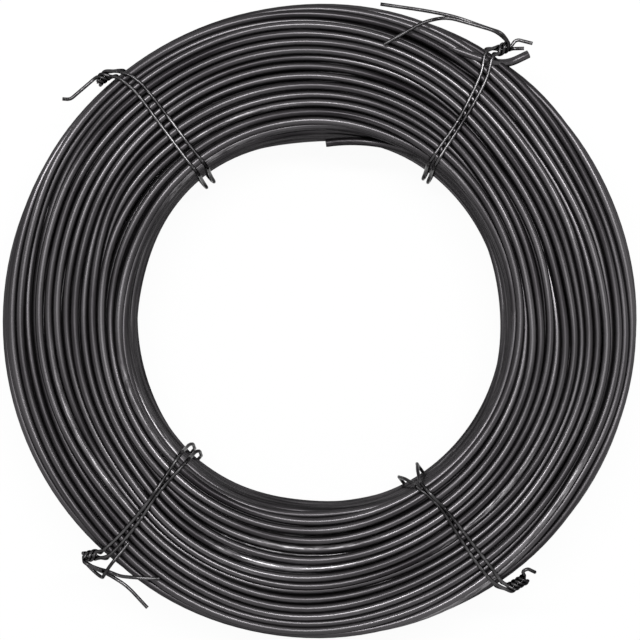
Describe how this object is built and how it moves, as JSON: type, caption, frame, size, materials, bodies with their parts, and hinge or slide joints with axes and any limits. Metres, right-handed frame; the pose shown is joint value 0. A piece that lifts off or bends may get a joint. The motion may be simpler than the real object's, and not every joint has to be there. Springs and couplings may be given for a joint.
{
  "type": "coil of steel wire",
  "caption": "Flat ring-shaped coil of black annealed steel wire with an open eye, held by doubled wire ties with twisted knots, lying on its end as raw stock.",
  "frame": {"origin": "on the coil's axis, on the floor that the ties under the coil rest on", "axes": "+Z up along the coil's axis; in the picture's square view from above, +X is to the right and +Y is up"},
  "size_m": [0.263, 0.263, 0.0549],
  "materials": {
    "wire": "black annealed, satin",
    "tie_wire": "black annealed, satin"
  },
  "bodies": {
    "root": {"wire_coil": "wire", "tie_upper_right": "tie_wire", "tie_upper_left": "tie_wire", "tie_lower_left": "tie_wire", "tie_lower_right": "tie_wire"}
  },
  "joints": []
}
